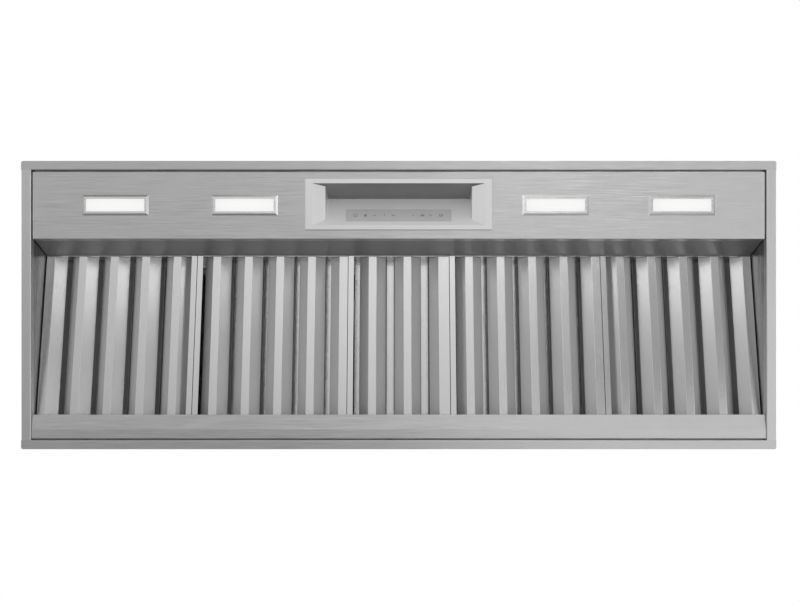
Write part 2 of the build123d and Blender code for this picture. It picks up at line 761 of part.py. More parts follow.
def blower_wheel():
    """Double-inlet wheel: a middle disc, two end rings and forward-leaning blades."""
    axis = (blower_y, blower_z)
    half = wheel_length / 2
    t = wheel_sheet
    ring = make_face(Circle(wheel_radius).edges()) - Circle(wheel_inner)
    disc = Pos(*axis) * (Circle(wheel_radius) - Circle(shaft_radius + shaft_fit))
    hub = Pos(*axis) * (Circle(hub_radius) - Circle(shaft_radius + shaft_fit))
    wheel = along_x(disc, -t / 2, t / 2) + along_x(hub, -t / 2, hub_length - t / 2)
    for x in (-half, half - t):
        wheel += along_x(Pos(*axis) * ring, x, x + t)
    inner, outer = wheel_inner + blade_sheet, wheel_radius - blade_sheet
    lean = radians(blade_sweep)
    blade = folded([(inner, 0), ((inner + outer) / 2, 0), (outer * cos(lean), outer * sin(lean))], blade_sheet)
    blades = [
        along_x(Pos(*axis) * Rot(0, 0, 360 * i / blade_count) * blade, -half + t / 2, half - t / 2)
        for i in range(blade_count)
    ]
    return wheel + blades


def motor_left():
    return -scroll_width / 2 - shell_sheet - motor_overhang


def wheel_shaft():
    """Shaft fixed in the wheel's hub; it turns in the motor."""
    start = -motor_clearance - motor_length / 2
    return rod(shaft_radius, (start, blower_y, blower_z), (1, 0, 0), hub_length + 2 - start)


def blower_motor():
    """Motor inside the wheel's left half, open at its right end for the shaft."""
    start = motor_left()
    length = -motor_clearance - start
    motor = rod(motor_radius, (start, blower_y, blower_z), (1, 0, 0), length)
    motor = fillet(motor.edges().filter_by(GeomType.CIRCLE), 4.0)
    bore_start = -motor_clearance - motor_length / 2 - 1
    return motor - rod(shaft_radius + shaft_fit, (bore_start, blower_y, blower_z), (1, 0, 0), motor_length)


def motor_mount():
    """Band round the motor, with three arms to the casing's left side."""
    seat = -scroll_width / 2 - shell_sheet
    axis = (blower_y, blower_z)
    outer = wheel_inner + arm_seat
    inner = motor_radius + shaft_fit
    band_face = Pos(*axis) * (Circle(inner + motor_arm_sheet) - Circle(inner))
    mount = along_x(band_face, seat - motor_arm_sheet, seat + motor_band - motor_arm_sheet)
    for i in range(3):
        arm = Pos((inner + outer) / 2 + 0.5, 0) * Rectangle(outer - inner - 1, motor_arm_width)
        face = Pos(*axis) * Rot(0, 0, 90 + 120 * i) * arm
        mount += along_x(face, seat - motor_arm_sheet, seat)
    return mount


# ---------------------------------------------------------------- the duct collar and its damper
def ring(outer, inner, z0, z1):
    face = Pos(0, collar_y, z0) * (Circle(outer) - Circle(inner))
    return extrude(face, z1 - z0)


pin_z = body_height + damper_height
collar_inner = collar_radius - shell_sheet


def duct_collar():
    """Round spigot for the duct, with the flaps' stop ring and middle bar inside."""
    base = body_height
    collar = ring(collar_radius + collar_flange, collar_inner, base, base + shell_sheet)
    collar += ring(collar_radius, collar_inner, base, base + collar_height)
    flange_top = base + shell_sheet
    roots = collar.edges().filter_by_position(Axis.Z, flange_top, flange_top)
    collar = fillet(roots.sort_by(SortBy.RADIUS)[0], collar_root)
    stop_top = pin_z - damper_knuckle - stop_ring_gap
    collar += ring(collar_inner + 0.5, collar_inner - stop_ring_width, stop_top - stop_ring_height, stop_top)
    half = centre_bar / 2
    y0, y1 = collar_y - half, collar_y + half
    bar_low, bar_high = stop_top - stop_ring_height, pin_z + damper_knuckle
    collar += block(-collar_inner, collar_inner, y0, y1, bar_low, bar_high)
    for side in (-1, 1):
        start = (-collar_radius - 1, collar_y + side * damper_pin_offset, pin_z)
        collar -= rod(damper_pin_radius + damper_fit, start, (1, 0, 0), 2 * collar_radius + 2)
    return collar


def damper_pins():
    reach = collar_radius - pin_recess
    pins = []
    for side in (-1, 1):
        start = (-reach, collar_y + side * damper_pin_offset, pin_z)
        pins.append(rod(damper_pin_radius, start, (1, 0, 0), 2 * reach))
    return Compound(children=[p.solid() for p in pins])


def damper_flap(side):
    """One half of the back-draft damper, curled round its pin; it lifts with the air."""
    low = pin_z - damper_knuckle
    radius = collar_inner - flap_clearance
    hinge_y = collar_y + side * damper_pin_offset
    disc = extrude(Pos(0, collar_y, low) * Circle(radius), flap_sheet)
    outward = sorted((hinge_y, hinge_y + side * 2 * radius))
    flap = disc & block(-radius, radius, *outward, low, low + flap_sheet)
    reach = radius - knuckle_end_gap
    flap += rod(damper_knuckle, (-reach, hinge_y, pin_z), (1, 0, 0), 2 * reach)
    return flap - rod(damper_pin_radius + damper_fit, (-reach, hinge_y, pin_z), (1, 0, 0), 2 * reach)


# ---------------------------------------------------------------- the mains inlet
gland_z = body_height + box_height / 2


def junction_box():
    """Wiring box on the top panel, open below towards the wire hole."""
    half_x, half_y = box_length / 2, box_width / 2
    base, top = body_height, body_height + box_height
    box_shape = block(box_x - half_x, box_x + half_x, box_y - half_y, box_y + half_y, base, top)
    box_shape = fillet(box_shape.edges().filter_by(Axis.Z), 3.0)
    t = box_sheet
    box_shape -= block(
        box_x - half_x + t, box_x + half_x - t, box_y - half_y + t, box_y + half_y - t, base, top - t
    )
    hole = rod(gland_radius + fit_gap, (box_x - half_x - 1, box_y, gland_z), (1, 0, 0), t + 2)
    return box_shape - hole


def cable_gland():
    """Gland in the wiring box's left side, for the mains cable."""
    wall = box_x - box_length / 2
    inside = wall + box_sheet
    body = rod(gland_radius, (wall - gland_outside, box_y, gland_z), (1, 0, 0), gland_outside + box_sheet + gland_inside)
    hexagon = extrude(
        Plane(origin=(wall - gland_nut_length, box_y, gland_z), z_dir=(1, 0, 0)) * RegularPolygon(gland_nut, 6),
        gland_nut_length,
    )
    nut = extrude(
        Plane(origin=(inside, box_y, gland_z), z_dir=(1, 0, 0)) * RegularPolygon(gland_nut, 6), gland_inside / 2
    )
    gland = body + hexagon + nut
    length = gland_outside + box_sheet + gland_inside
    return gland - rod(gland_bore, (wall - gland_outside, box_y, gland_z), (1, 0, 0), length)


# ---------------------------------------------------------------- write every piece
os.makedirs("parts", exist_ok=True)

save("front_rail", end_rail(-1))
save("rear_rail", end_rail(1))
save("left_rail", side_rail(-1))
save("right_rail", side_rail(1))
save("front_panel", end_panel(-1))
save("rear_panel", end_panel(1))
save("left_side_panel", side_panel(-1))
save("right_side_panel", side_panel(1))
save("top_panel", top_panel())
save("panel_screws", panel_screws())
save("fascia_panel", fascia_panel())
save("front_liner_wall", front_liner_wall())
save("drip_tray", drip_tray())
save("filter_hinge_rod", filter_hinge_rod())
save("hinge_ears", hinge_ears())
save("filter_stop_rail", filter_stop_rail())
save("magnet_catches", magnet_catches())

for number, (left, width, first, pitch) in enumerate(filter_places(), 1):
    pieces = {"frame": filter_frame(left, width)}
    for layer in ("lower", "upper"):
        pieces[f"{layer}_slats"] = filter_slats(left, width, first, pitch, layer == "upper")
    for piece, shape in pieces.items():
        if number == left_handed_filter:
            shape = other_hand(shape, left + width / 2)
        save(f"filter_{number}_{piece}", on_slope(shape))

for number, x in enumerate(light_places(), 1):
    save(f"light_{number}_bezel", light_bezel(x))
    save(f"light_{number}_lens", light_lens(x))
    save(f"light_{number}_lamp_box", lamp_box(x))
save("led_boards", led_boards())

save("control_pocket", control_pocket())
save("touch_strip", touch_strip())
save("control_module", control_module())
save("led_driver", led_driver())

save("blower_scroll", blower_scroll())
save("blower_wheel", blower_wheel())
save("wheel_shaft", wheel_shaft())
save("blower_motor", blower_motor())
save("motor_mount", motor_mount())

save("duct_collar", duct_collar())
save("damper_pins", damper_pins())
save("damper_flap_front", damper_flap(-1))
save("damper_flap_rear", damper_flap(1))

save("junction_box", junction_box())
save("cable_gland", cable_gland())

print("body height", round(body_height, 2), "collar top", round(body_height + collar_height, 2))
print("filter tilt", round(degrees(tilt), 2), "rod", round(rod_y, 2), round(rod_z, 2))
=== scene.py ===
# %% [markdown]
# # A range hood insert, seen from below
# A liner like this sits inside a hood or a cabinet over the range. From the kitchen only its
# underside shows: a flange, a panel with lights and a touch control, and a row of baffle filters
# that slope down to a drip tray. Nearly all of it is folded stainless sheet, so the looks rest on
# how brushed steel mirrors what is around it. We load the solid model first.

# %% Load the solid model
import math

import bmesh
import bpy
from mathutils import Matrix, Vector


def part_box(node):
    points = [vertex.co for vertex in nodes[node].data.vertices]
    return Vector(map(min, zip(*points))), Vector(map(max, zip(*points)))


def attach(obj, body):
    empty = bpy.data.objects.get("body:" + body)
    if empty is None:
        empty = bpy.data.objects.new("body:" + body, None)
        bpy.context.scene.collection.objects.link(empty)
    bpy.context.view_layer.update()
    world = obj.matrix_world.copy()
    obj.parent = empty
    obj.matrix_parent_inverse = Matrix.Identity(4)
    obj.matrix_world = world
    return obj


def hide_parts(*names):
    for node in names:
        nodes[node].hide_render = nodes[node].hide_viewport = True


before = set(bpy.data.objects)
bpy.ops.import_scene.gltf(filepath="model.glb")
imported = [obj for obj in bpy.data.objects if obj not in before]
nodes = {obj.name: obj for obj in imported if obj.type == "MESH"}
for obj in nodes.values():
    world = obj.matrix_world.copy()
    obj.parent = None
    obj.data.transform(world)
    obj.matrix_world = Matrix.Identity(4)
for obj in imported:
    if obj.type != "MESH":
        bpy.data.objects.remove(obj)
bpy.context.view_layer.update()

# %% [markdown]
# ## The camera
# The picture looks straight up at the insert, so the camera lies on the floor side and faces +Z.
# Turning it half a turn about X puts the cook's side, -Y, at the top of the picture and keeps +X
# on the right. A small shift of the lens centres the frame as the picture has it.

# %% Camera
PICTURE = (800, 601)  # the picture's size in pixels
EYE_DISTANCE = 1.524  # metres from the lens to the flange
LENS, SENSOR = 35.0, 36.0  # millimetres
SHIFT_PIXELS = (1.3, 4.55)  # how far the flange's centre is from the picture's centre

camera = bpy.data.objects.new("camera", bpy.data.cameras.new("camera"))
camera.data.lens, camera.data.sensor_width = LENS, SENSOR
camera.data.clip_end = 50
camera.location = (0, 0, -EYE_DISTANCE)
camera.rotation_euler = (math.pi, 0, 0)
camera.data.shift_x = SHIFT_PIXELS[0] / PICTURE[0]
camera.data.shift_y = SHIFT_PIXELS[1] / PICTURE[0]
bpy.context.scene.collection.objects.link(camera)
bpy.context.scene.camera = camera
print("camera looks up from", EYE_DISTANCE, "m below the flange")

# %% [markdown]
# ## Shader maths as plain expressions
# A material is a graph of nodes, but a formula is easier to read as one. The class below wraps a
# socket and gives it + - * /, so that `0.3 + 0.1 * noise` adds its own Math nodes. Every other
# node comes from `Shader.add`, which sets the node's own options first and its sockets after.
# Two helpers name what comes back most: a ramp from 0 to 1, and a blend of two values.


# %% Sockets that can be added and multiplied
class Value:
    """A shader socket with arithmetic."""

    def __init__(self, shader, socket):
        self.shader, self.socket = shader, socket

    def _math(self, operation, first, second):
        return self.shader.add("ShaderNodeMath", {"operation": operation}, {0: first, 1: second})

    def __add__(self, other):
        return self._math("ADD", self, other)

    __radd__ = __add__

    def __sub__(self, other):
        return self._math("SUBTRACT", self, other)

    def __rsub__(self, other):
        return self._math("SUBTRACT", other, self)

    def __mul__(self, other):
        return self._math("MULTIPLY", self, other)

    __rmul__ = __mul__

    def __truediv__(self, other):
        return self._math("DIVIDE", self, other)

    def __pow__(self, other):
        return self._math("POWER", self, other)

    def clamp(self):
        return self.shader.add("ShaderNodeClamp", {}, {0: self})


class Shader:
    """One material's node tree."""

    def __init__(self, name, world=None):
        if world is None:
            self.material = bpy.data.materials.new(name)
            self.material.use_nodes = True
            self.tree = self.material.node_tree
        else:
            world.use_nodes = True
            self.tree = world.node_tree
        self.tree.nodes.clear()

    def add(self, kind, settings, sockets, output=0):
        """A node of this kind; its settings first, then its sockets, each a number or a Value."""
        node = self.tree.nodes.new(kind)
        for key, value in settings.items():
            setattr(node, key, value)
        for key, value in sockets.items():
            if isinstance(value, Value):
                self.tree.links.new(value.socket, node.inputs[key])
            else:
                node.inputs[key].default_value = value
        return Value(self, node.outputs[output]) if node.outputs else node

    def mix(self, factor, first, second):
        """A colour between two colours; 6 and 7 are the Mix node's colour sockets."""
        return self.add(
            "ShaderNodeMix", {"data_type": "RGBA"}, {0: factor, 6: first, 7: second}, output=2
        )

    def place(self, scale=(1, 1, 1)):
        """The object's own coordinates, in metres, stretched."""
        coordinates = self.add("ShaderNodeTexCoord", {}, {}, output=3)
        sockets = {0: coordinates, 3: scale}
        return self.add("ShaderNodeMapping", {"vector_type": "POINT"}, sockets)

    def vector(self, operation, sockets):
        return self.add("ShaderNodeVectorMath", {"operation": operation}, sockets)

    def parts(self, vector):
        """The vector's X, Y and Z."""
        split = self.add("ShaderNodeSeparateXYZ", {}, {0: vector}).socket.node
        return [Value(self, socket) for socket in split.outputs]

    def noise(self, where, scale, detail):
        sockets = {"Vector": where, "Scale": scale, "Detail": detail}
        return self.add("ShaderNodeTexNoise", {}, sockets)

    def bump(self, height, strength, distance):
        sockets = {"Strength": strength, "Distance": distance, "Height": height}
        return self.add("ShaderNodeBump", {}, sockets)

    def normal(self):
        return self.add("ShaderNodeNewGeometry", {}, {}, output=1)

    def scratched(self, grain, lean, noise):
        """The surface's normal, leaning at random to either side of the grain."""
        normal = self.normal()
        across = self.vector("CROSS_PRODUCT", {0: normal, 1: grain})
        leaning = self.vector("SCALE", {0: across, 3: lean * (noise - 0.5)})
        tipped = self.vector("ADD", {0: normal, 1: leaning})
        return self.vector("NORMALIZE", {0: tipped})

    def finish(self, **sockets):
        """Ends the tree in one Principled surface."""
        named = {key.replace("_", " "): value for key, value in sockets.items()}
        surface = self.add("ShaderNodeBsdfPrincipled", {}, named)
        self.add("ShaderNodeOutputMaterial", {}, {0: surface})
        return self.material


# %% Ramps, blends and greys
def ramp(value, start, steepness):
    """0 up to start and 1 well past it; a negative steepness rises the other way."""
    return (steepness * (value - start)).clamp()


def blend(share, first, second):
    """The first value at share 0 and the second one at share 1."""
    return first + share * (second - first)


def grey(level, warm=0.0):
    """A near-neutral colour; warm adds a little red and takes away a little blue."""
    return (level * (1 + warm), level, level * (1 - warm), 1.0)


print("a mid grey is", grey(0.5))

# %% [markdown]
# ## Brushed stainless sheet
# A grinding belt leaves fine scratches that all run one way. They are far finer than a pixel, but
# they blur every reflection across the grain and leave faint streaks along it. Stretching one
# noise hard along the grain gives both: it leans the normal at random to either side of the
# grain, which blurs, and it changes roughness and colour a little, which streaks. A second, wide
# noise is the cloudiness of handled sheet. The baffles' slopes face each other across narrow
# channels, and they get painted shade: the filters' steel is a little darker and less metallic
# wherever its normal leans to a side.

# %% The steel's recipe
GRAINS = {"X": (1.0, 0.0, 0.0), "Y": (0.0, 1.0, 0.0)}
GRAIN_STRETCH = 0.006  # how much slower the noise changes along the grain
SCRATCHES, STREAKS, CLOUDS = 2600.0, 420.0, 9.0  # scales of the three noises, per metre
SLOPE_SHADE_SHEEN = 0.42  # how much metallic sheen the painted shade on the baffles' slopes takes away


def brushed_steel(
    name, grain, level, roughness, streaks=1.0, lean=0.8, metallic=0.8, polish=0.0, slope_shade=1.0
):
    """Stainless sheet with scratches along the grain axis, and painted shade, a darker colour and
    less sheen, where it leans to a side.
    """
    shader = Shader(name)
    stretched = shader.place(scale=tuple(GRAIN_STRETCH if c else 1.0 for c in GRAINS[grain]))
    fine = shader.noise(stretched, SCRATCHES, 3.0)
    streak = shader.noise(stretched, STREAKS, 4.0)
    cloud = shader.noise(shader.place(), CLOUDS, 3.0)
    shade = 0.5 + streaks * (0.35 * (streak - 0.5) + 0.30 * (fine - 0.5) + 0.20 * (cloud - 0.5))
    colour = shader.mix(shade.clamp(), grey(level * 0.90), grey(level * 1.10))
    # Painted shade: faces that lean to a side, the baffles' slopes, get a darker colour and less
    # metallic sheen.
    if slope_shade < 1:
        sideways, _, _ = shader.parts(shader.normal())
        painted_slope_shade = ramp(sideways * sideways, 0.1, 4.0)
        colour = shader.mix(painted_slope_shade, colour, grey(level * slope_shade))
        metallic = metallic - SLOPE_SHADE_SHEEN * painted_slope_shade
    rough = roughness + 0.10 * streaks * (streak - 0.5) + 0.06 * (cloud - 0.5)
    normal = shader.scratched(GRAINS[grain], lean, fine)
    return shader.finish(
        Base_Color=colour,
        Metallic=metallic,
        Roughness=rough.clamp(),
        Normal=normal,
        Coat_Weight=polish,
        Coat_Roughness=0.05,
    )


flange_look = {"streaks": 0.8, "metallic": 0.85}
panel_steel = brushed_steel("stainless_panel", "X", 0.60, 0.38, lean=1.0, **flange_look)
# The liner wall and the side panels are the panels' stainless set darker: painted shade for the
# cavity's inner walls.
shaded_wall_steel = brushed_steel("stainless_wall", "X", 0.49, 0.50, lean=0.6, metallic=0.90, polish=0.5)
shaded_side_steel = brushed_steel("stainless_side", "Y", 0.38, 0.26, lean=1.0, metallic=0.90)
rail_steel = brushed_steel("stainless_rail", "X", 0.60, 0.38, lean=1.0, **flange_look)
side_rail_steel = brushed_steel("stainless_side_rail", "Y", 0.66, 0.42, **flange_look)
filter_steel = brushed_steel(
    "stainless_filter", "Y", 0.66, 0.17, streaks=0.6, lean=0.5, metallic=0.88, slope_shade=0.92
)
bezel_steel = brushed_steel("stainless_bezel", "X", 0.78, 0.22, streaks=0.4, metallic=0.80)
shaft_steel = brushed_steel("ground_bar", "X", 0.62, 0.22, streaks=0.5)
print("steel finishes:", [m.name for m in bpy.data.materials])

# %% [markdown]
# ## Galvanised sheet
# The hidden parts are plain zinc-coated sheet. Zinc freezes into flat crystals, each at its own
# angle, so the sheet shows patches a few millimetres wide that differ a little in brightness. A
# Voronoi texture makes such patches; its cell colour gives each one its own shade. Small plated
# parts only need a slight mottle.

# %% Zinc and nickel
def galvanised(name, level, roughness):
    shader = Shader(name)
    where = shader.place()
    cell = shader.add("ShaderNodeTexVoronoi", {}, {"Vector": where, "Scale": 130.0}, output=1)
    patch = shader.add("ShaderNodeSeparateColor", {}, {0: cell})
    cloud = shader.noise(where, 12.0, 3.0)
    shade = (0.5 + 0.8 * (patch - 0.5) + 0.5 * (cloud - 0.5)).clamp()
    colour = shader.mix(shade, grey(level * 0.86, -0.012), grey(level * 1.10, -0.012))
    rough = roughness + 0.12 * (patch - 0.5) + 0.08 * (cloud - 0.5)
    return shader.finish(Base_Color=colour, Metallic=1.0, Roughness=rough.clamp())


def plated(name, level, roughness):
    """Nickel or zinc plate on a small part, with a slight mottle."""
    shader = Shader(name)
    mottle = shader.noise(shader.place(), 320.0, 3.0)
    colour = shader.mix(mottle, grey(level * 0.92, 0.01), grey(level * 1.06, 0.01))
    return shader.finish(
        Base_Color=colour, Metallic=1.0, Roughness=(roughness + 0.10 * (mottle - 0.5)).clamp()
    )


zinc_sheet = galvanised("galvanised_sheet", 0.62, 0.40)
nickel = plated("nickel_plate", 0.70, 0.18)
zinc_plate = plated("zinc_plate", 0.66, 0.28)
print("zinc and nickel:", zinc_sheet.name, nickel.name, zinc_plate.name)

# %% [markdown]
# ## Moulded and painted parts
# Plastic cases, the gland, the motor's paint and the circuit boards have an even colour, but no
# surface is perfectly even. A wide noise shifts the colour by about a tenth and the gloss with
# it, and a very fine one gives the bump of a moulding's texture.

# %% Plastic and paint
def moulded(name, colour, roughness, texture=0.12):
    """Moulded plastic or paint: an even colour and a fine texture."""
    shader = Shader(name)
    where = shader.place()
    grain, cloud = shader.noise(where, 1400.0, 2.0), shader.noise(where, 25.0, 2.0)
    dark = tuple(c * 0.88 for c in colour[:3]) + (1.0,)
    light = tuple(min(1.0, c * 1.10) for c in colour[:3]) + (1.0,)
    return shader.finish(
        Base_Color=shader.mix(cloud, dark, light),
        Roughness=(roughness + 0.12 * (cloud - 0.5)).clamp(),
        Normal=shader.bump(grain, texture, 0.0003),
    )


black_nylon = moulded("black_nylon", grey(0.035), 0.45)
white_case = moulded("white_case", grey(0.72), 0.40)
motor_paint = moulded("motor_paint", grey(0.05), 0.38)
board_mask = moulded("board_mask", (0.80, 0.80, 0.74, 1.0), 0.35)
touch_film = moulded("touch_film", grey(0.72), 0.30, texture=0.04)
touch_mark = moulded("touch_mark", grey(0.16), 0.40, texture=0.0)
print("all finishes so far:", len(bpy.data.materials))

# %% [markdown]
# ## The frosted diffusers
# Each lamp shines through a frosted cover. It is brightest over the row of diodes and falls off a
# little towards its ends. An emission that depends on the place along each cover gives that; the
# cover itself stays white plastic, so it looks right from every side.

# %% Diffuser
LAMP_NUMBERS = range(1, 5)


def diffuser(number):
    low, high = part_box(f"light_{number}_lens")
    middle, half = (low + high) / 2, (high - low) / 2
    shader = Shader(f"diffuser_{number}")
    x, y, _ = shader.parts(shader.add("ShaderNodeTexCoord", {}, {}, output=3))
    along = ((x - middle.x) / half.x) ** 4.0
    across = ((y - middle.y) / half.y) ** 2.0
    edge = (0.55 * along + 0.45 * across).clamp()
    glow = shader.mix(edge, grey(0.96, 0.004), grey(0.80, 0.006))
    return shader.finish(
        Base_Color=grey(0.50), Roughness=0.55, Emission_Color=glow, Emission_Strength=0.67
    )


# %% [markdown]
# ## The control's satin moulding
# The control's frame and its pocket are one moulding with a satin, silvery finish. Its colour is
# set by which way each face looks: the pocket's steep front side gets painted shade, which gives
# the pocket its depth, and the slope behind it, where the touch strip lies, and the end slopes get
# painted light; that slope is also almost matt. One material can do all of it: masks find the faces
# that look to the rear, to the cook or to the sides by their normal, and each mask steers the
# colour or the metallic sheen.

# %% Satin moulding
def satin_moulding():
    shader = Shader("satin_moulding")
    grain = shader.noise(shader.place(scale=(0.02, 1.0, 1.0)), 900.0, 2.0)
    cloud = shader.noise(shader.place(), 14.0, 2.0)
    shade = (0.5 + 0.14 * (grain - 0.5) + 0.3 * (cloud - 0.5)).clamp()
    sideways, rearward, _ = shader.parts(shader.normal())
    # Painted shade on the steep side and painted light on the slope and the end slopes: each colour
    # below follows which way the face looks.
    painted_shade_side = ramp(rearward, 0.6, 5.0)
    slope = ramp(rearward, -0.3, -5.0)
    painted_light_ends = ramp(sideways * sideways, 0.03, 15.0)
    frame_face = shader.mix(shade, grey(0.80), grey(0.86))
    colour = shader.mix(painted_light_ends, frame_face, grey(0.95))
    colour = shader.mix(slope, colour, grey(0.93))
    colour = shader.mix(painted_shade_side, colour, grey(0.26))
    return shader.finish(
        Base_Color=colour,
        Metallic=0.6 - 0.55 * slope,
        Roughness=(0.28 + 0.02 * (grain - 0.5) - 0.12 * painted_shade_side).clamp(),
    )


control_satin = satin_moulding()
print("the control's finish:", control_satin.name)

# %% [markdown]
# ## Dressing the solid pieces
# The sheet parts already have their true shape, down to the folds and the slats, so they stay as
# they are and only get a finish. The grain follows how each sheet is cut: along the length on the
# long rails and panels, front to rear on the short ones and on the filters.

# %% Dress the solid model's own pieces
def dress(material, *names):
    for name in names:
        mesh = nodes[name].data
        mesh.materials.clear()
        mesh.materials.append(material)


FILTERS = range(1, 6)
dress(rail_steel, "front_rail", "rear_rail")
dress(side_rail_steel, "left_rail", "right_rail")
dress(panel_steel, "fascia_panel", "drip_tray", "filter_stop_rail")
dress(panel_steel, "front_panel", "rear_panel", "top_panel")
dress(shaded_wall_steel, "front_liner_wall")
dress(shaded_side_steel, "left_side_panel", "right_side_panel")
for number in FILTERS:
    for part in ("frame", "lower_slats", "upper_slats"):
        dress(filter_steel, f"filter_{number}_{part}")
for number in LAMP_NUMBERS:
    dress(bezel_steel, f"light_{number}_bezel")
    dress(diffuser(number), f"light_{number}_lens")
    dress(zinc_sheet, f"light_{number}_lamp_box")
dress(control_satin, "control_pocket")
dress(touch_film, "touch_strip")
dress(black_nylon, "control_module", "cable_gland")
dress(white_case, "led_driver")
dress(board_mask, "led_boards")
dress(zinc_sheet, "hinge_ears", "blower_scroll", "blower_wheel", "motor_mount")
dress(zinc_sheet, "duct_collar", "damper_flap_front", "damper_flap_rear", "junction_box")
dress(motor_paint, "blower_motor")
dress(shaft_steel, "filter_hinge_rod", "wheel_shaft", "damper_pins")
dress(nickel, "magnet_catches")
dress(zinc_plate, "panel_screws")
print("dressed", len(nodes), "solid pieces")

# %% [markdown]
# ## Screws and rivets
# The lid's skirt is screwed to the shell with pan-head screws, the wiring box has two more in its
# cover, and the duct collar and the shell's corners are riveted. Copying a mesh by hand would work
# for one row, but these are four rows that look four ways. So one Geometry Nodes tree does them
# all: it is given bare points that carry the direction they face, and puts one fastener on each,
# turned at random about its own axis, because nobody lines up the recesses. First the two shapes:
# both are turned on a lathe, so a profile and a number of sides describe them.

# %% Turned shapes
MM = 0.001  # a millimetre in Blender's metres


def turned(name, profile, sides):
    """A closed solid of revolution about Z; the profile runs from pole to pole, in millimetres."""
    mesh = bpy.data.meshes.new(name)
    shape = bmesh.new()
    rings = []
    for radius, height in profile:
        turns = [math.tau * i / sides for i in range(sides if radius else 1)]
        circle = [(radius * math.cos(t), radius * math.sin(t), height) for t in turns]
        rings.append([shape.verts.new([c * MM for c in place]) for place in circle])
    for lower, upper in zip(rings, rings[1:]):
        for i in range(sides):
            j = (i + 1) % sides
            below, above = ([ring[k % len(ring)] for k in (i, j)] for ring in (lower, upper))
            shape.faces.new(list(dict.fromkeys(below + above[::-1])))
    bmesh.ops.recalc_face_normals(shape, faces=shape.faces)
    shape.to_mesh(mesh)
    shape.free()
    return bpy.data.objects.new(name, mesh)


RIVET_PROFILE = [(0, -0.2), (2.4, -0.2), (2.4, 0.25), (2.0, 0.8), (1.2, 1.15), (0, 1.3)]
rivet = turned("rivet_shape", RIVET_PROFILE, sides=14)
print("a rivet has", len(rivet.data.polygons), "faces")

# %% [markdown]
# ## The cross recess
# A pan-head screw is turned too, and a tapered cross is then punched into it. The punch is four
# wedge-shaped wings round one axis, and an exact Boolean takes it out of the head.

# %% Pan-head screw
SCREW_HEAD = 2.4  # height of the head, millimetres
SHANK_PROFILE = [(0, -8), (1.5, -8), (2.0, -7), (2.0, 0)]
HEAD_PROFILE = [(3.75, 0), (3.75, 1.3), (3.5, 1.9), (2.9, 2.25), (1.9, SCREW_HEAD), (0, SCREW_HEAD)]
WING, WEB = 1.9, 0.42  # half the cross's span and half its wings' thickness
PUNCH_LEVELS = [(SCREW_HEAD + 0.5, 1.1), (SCREW_HEAD - 1.3, 0.6)]  # (height, size) of its ends


def punch():
    """The cross-shaped tool: twelve corners above the head, the same cross smaller inside it."""
    outline = []
    for quarter in range(4):
        turn = quarter * math.pi / 2
        for u, v in ((WING, -WEB), (WING, WEB), (WEB, WEB)):
            c, s = math.cos(turn), math.sin(turn)
            outline.append((u * c - v * s, u * s + v * c))
    shape = bmesh.new()
    rings = []
    for height, size in PUNCH_LEVELS:
        cross_at = [(u * size, v * size, height) for u, v in outline]
        rings.append([shape.verts.new([c * MM for c in place]) for place in cross_at])
    for i in range(len(outline)):
        j = (i + 1) % len(outline)
        shape.faces.new([rings[0][i], rings[0][j], rings[1][j], rings[1][i]])
    for ring in rings:
        shape.faces.new(ring)
    bmesh.ops.recalc_face_normals(shape, faces=shape.faces)
    mesh = bpy.data.meshes.new("punch")
    shape.to_mesh(mesh)
    shape.free()
    return bpy.data.objects.new("punch", mesh)


def evaluated_mesh(piece):
    """The piece's mesh with its modifiers worked in."""
    graph = bpy.context.evaluated_depsgraph_get()
    graph.update()
    return bpy.data.meshes.new_from_object(piece.evaluated_get(graph))


screw, cross = turned("screw_shape", SHANK_PROFILE + HEAD_PROFILE, sides=20), punch()
for shape in (screw, cross):
    bpy.context.scene.collection.objects.link(shape)
cut = screw.modifiers.new("recess", "BOOLEAN")
cut.operation, cut.solver, cut.object = "DIFFERENCE", "EXACT", cross
recessed = evaluated_mesh(screw)
screw.modifiers.clear()
screw.data = recessed
bpy.context.scene.collection.objects.unlink(screw)
bpy.data.objects.remove(cross)
print("a screw has", len(screw.data.polygons), "faces")

# %% [markdown]
# ## A tree that sets fasteners
# Instance on Points copies one object to every point. Align Rotation to Vector turns its Z axis to
# the direction stored on the point, and Random Value adds the twist. Instances are only references,
# which an export drops, so the tree ends by making them real and giving them their finish.

